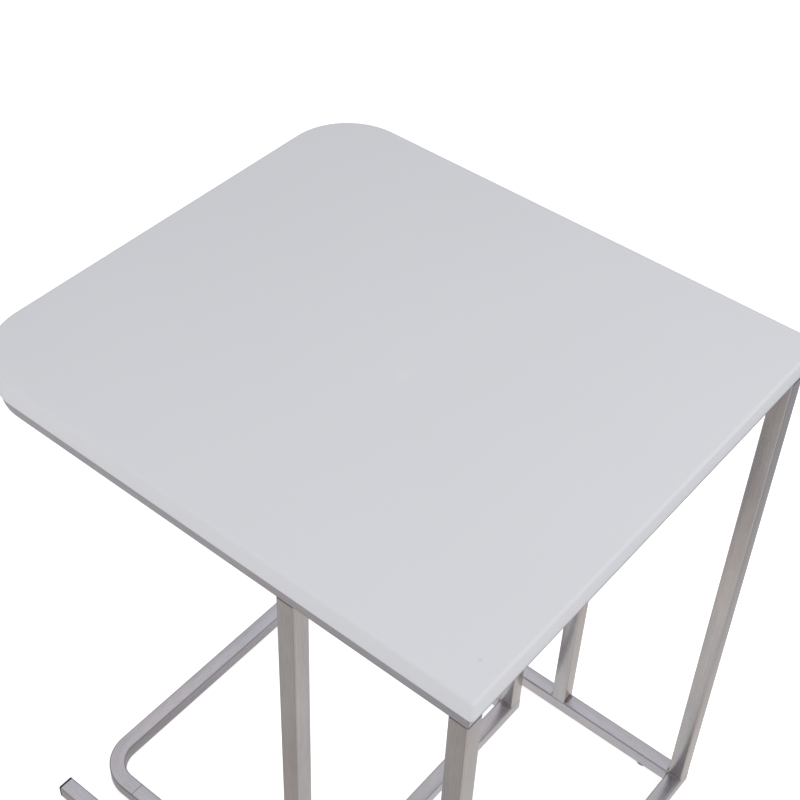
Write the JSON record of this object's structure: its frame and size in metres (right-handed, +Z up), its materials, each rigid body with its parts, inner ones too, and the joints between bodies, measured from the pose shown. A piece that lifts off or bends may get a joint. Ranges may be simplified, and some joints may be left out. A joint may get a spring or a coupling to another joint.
{
  "type": "nesting tables",
  "caption": "Pair of nesting side tables: white lacquered tops with two rounded corners on C-shaped frames of square steel tube; the small table slides out of the large one.",
  "frame": {"origin": "on the floor under the middle of the large table's top", "axes": "+Z up; +Y towards the rounded, open end that the small table slides out of; +X to the right when looking along +Y"},
  "size_m": [0.44, 0.486, 0.61],
  "materials": {
    "white_lacquer": "satin white lacquer on fibreboard",
    "brushed_steel": "brushed stainless steel, welded",
    "dark_plastic": "moulded black plastic",
    "zinc_plate": "zinc plated steel"
  },
  "bodies": {
    "large_table": {"large_base_cross_rail": "brushed_steel", "large_base_rail_left": "brushed_steel", "large_base_rail_right": "brushed_steel", "large_corner_leg_left": "brushed_steel", "large_corner_leg_right": "brushed_steel", "large_end_plug_left": "dark_plastic", "large_end_plug_right": "dark_plastic", "large_end_rail": "brushed_steel", "large_front_cross_rail": "brushed_steel", "large_glide_1": "dark_plastic", "large_glide_2": "dark_plastic", "large_glide_3": "dark_plastic", "large_glide_4": "dark_plastic", "large_mid_cross_rail": "brushed_steel", "large_middle_leg_left": "brushed_steel", "large_middle_leg_right": "brushed_steel", "large_screw_tab_1": "brushed_steel", "large_screw_tab_2": "brushed_steel", "large_screw_tab_3": "brushed_steel", "large_screw_tab_4": "brushed_steel", "large_screw_tab_5": "brushed_steel", "large_screw_tab_6": "brushed_steel", "large_side_rail_left": "brushed_steel", "large_side_rail_right": "brushed_steel", "large_top": "white_lacquer", "large_top_screw_1": "zinc_plate", "large_top_screw_2": "zinc_plate", "large_top_screw_3": "zinc_plate", "large_top_screw_4": "zinc_plate", "large_top_screw_5": "zinc_plate", "large_top_screw_6": "zinc_plate"},
    "small_table": {"small_base_cross_rail": "brushed_steel", "small_base_end_rail": "brushed_steel", "small_base_rail_left": "brushed_steel", "small_base_rail_right": "brushed_steel", "small_cross_rail": "brushed_steel", "small_end_rail": "brushed_steel", "small_glide_1": "dark_plastic", "small_glide_2": "dark_plastic", "small_glide_3": "dark_plastic", "small_glide_4": "dark_plastic", "small_leg_left": "brushed_steel", "small_leg_right": "brushed_steel", "small_screw_tab_1": "brushed_steel", "small_screw_tab_2": "brushed_steel", "small_screw_tab_3": "brushed_steel", "small_screw_tab_4": "brushed_steel", "small_side_rail_left": "brushed_steel", "small_side_rail_right": "brushed_steel", "small_top": "white_lacquer", "small_top_screw_1": "zinc_plate", "small_top_screw_2": "zinc_plate", "small_top_screw_3": "zinc_plate", "small_top_screw_4": "zinc_plate"}
  },
  "joints": [
    {"name": "small_table_slide", "type": "slide", "parent": "large_table", "child": "small_table", "axis": [0, 1, 0], "range_m": [0, 0.45]}
  ]
}
